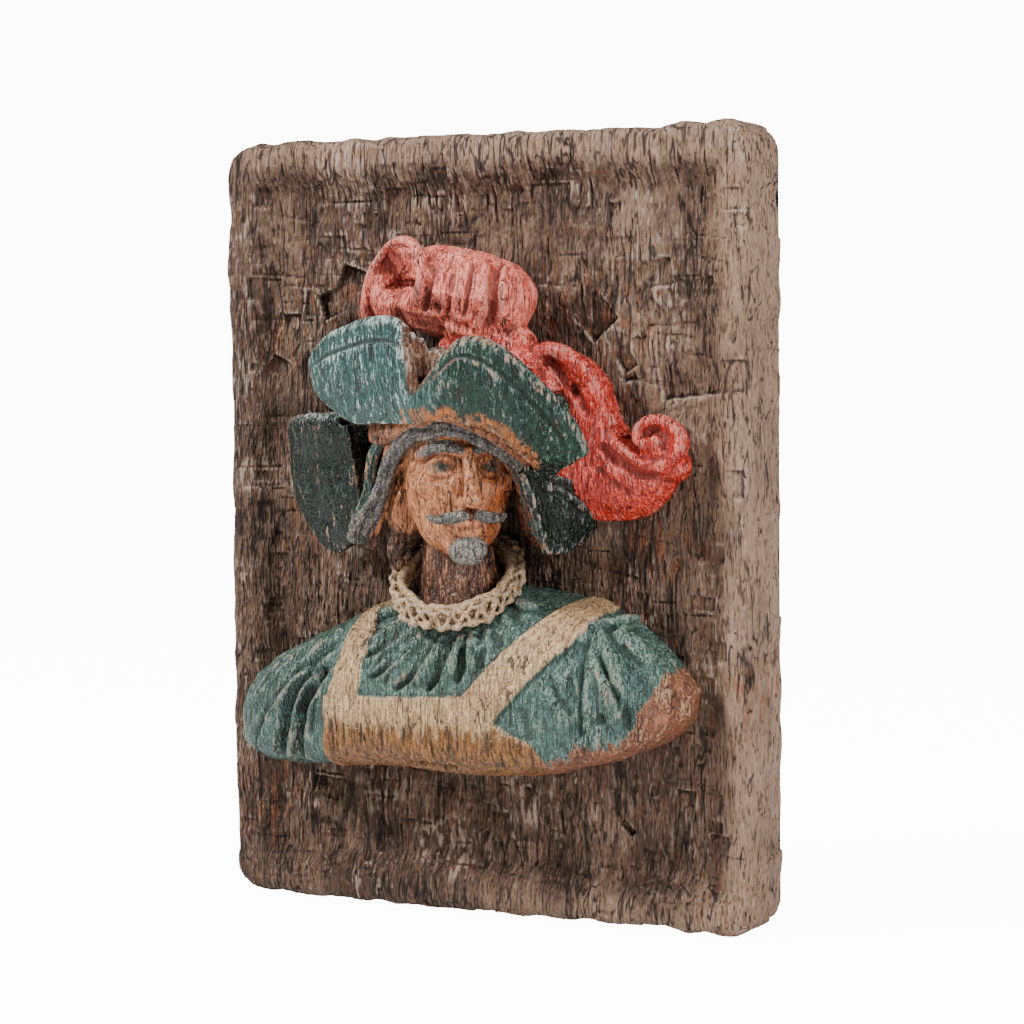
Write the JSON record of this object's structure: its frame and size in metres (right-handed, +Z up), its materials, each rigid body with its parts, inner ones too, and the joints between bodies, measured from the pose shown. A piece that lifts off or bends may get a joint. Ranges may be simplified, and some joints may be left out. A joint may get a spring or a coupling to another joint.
{
  "type": "carved wooden wall bust",
  "caption": "Thick rough-hewn oak wall plaque with a painted high-relief bust of a bearded man in a plumed turned-up hat, ruff and bib.",
  "frame": {"origin": "middle of the flat back of the panel, which lies against the wall", "axes": "+Y into the wall, out of the flat back; +Z up along the panel's height; +X along its width, to the viewer's right"},
  "size_m": [0.3831, 0.1483, 0.5076],
  "materials": {
    "oak": "rough-hewn dark oak, carved figure painted in worn teal, coral red, ochre, cream and flesh"
  },
  "bodies": {
    "root": {"carved_wall_bust": "oak"}
  },
  "joints": []
}
